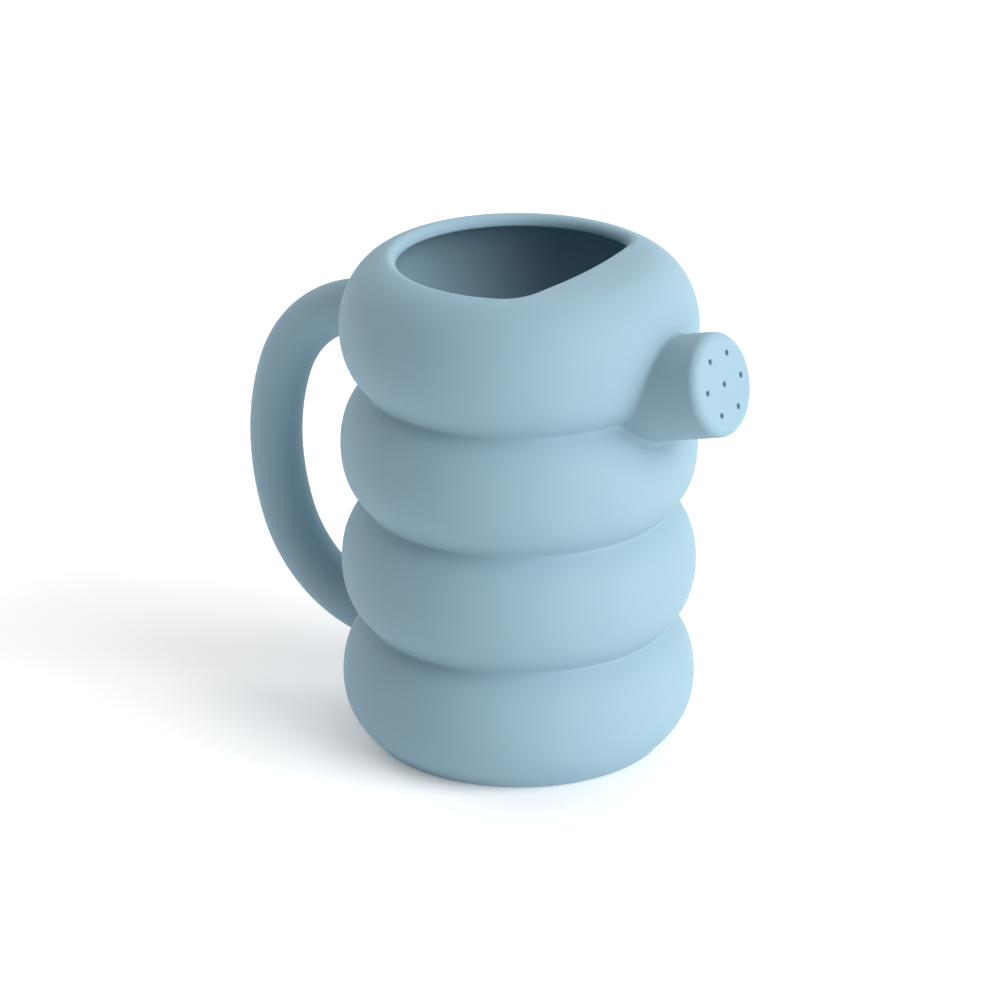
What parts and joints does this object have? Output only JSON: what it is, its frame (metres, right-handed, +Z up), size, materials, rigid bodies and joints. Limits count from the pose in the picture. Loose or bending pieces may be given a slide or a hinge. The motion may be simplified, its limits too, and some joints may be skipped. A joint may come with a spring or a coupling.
{
  "type": "watering can",
  "caption": "Small silicone watering can with a bulging ringed body, hooded open mouth, round loop handle and short upturned spout with a pull-off spray rose.",
  "frame": {"origin": "centre of the flat underside that the can stands on", "axes": "+Z up along the vessel's axis, +X the way the spout points, the handle on the -X side, +Y to the left of someone looking along +X"},
  "size_m": [0.1686, 0.105, 0.15],
  "materials": {
    "vessel_silicone": "matte",
    "handle_silicone": "matte",
    "spout_silicone": "matte"
  },
  "bodies": {
    "can": {"body_shell": "vessel_silicone", "base_disc": "vessel_silicone", "handle_loop": "handle_silicone", "spout_tube": "spout_silicone"},
    "rose": {"rose_cap": "spout_silicone"}
  },
  "joints": [
    {"name": "rose_pull", "type": "slide", "parent": "can", "child": "rose", "axis": [0.965, 0, 0.2622], "range_m": [0, 0.012]}
  ]
}
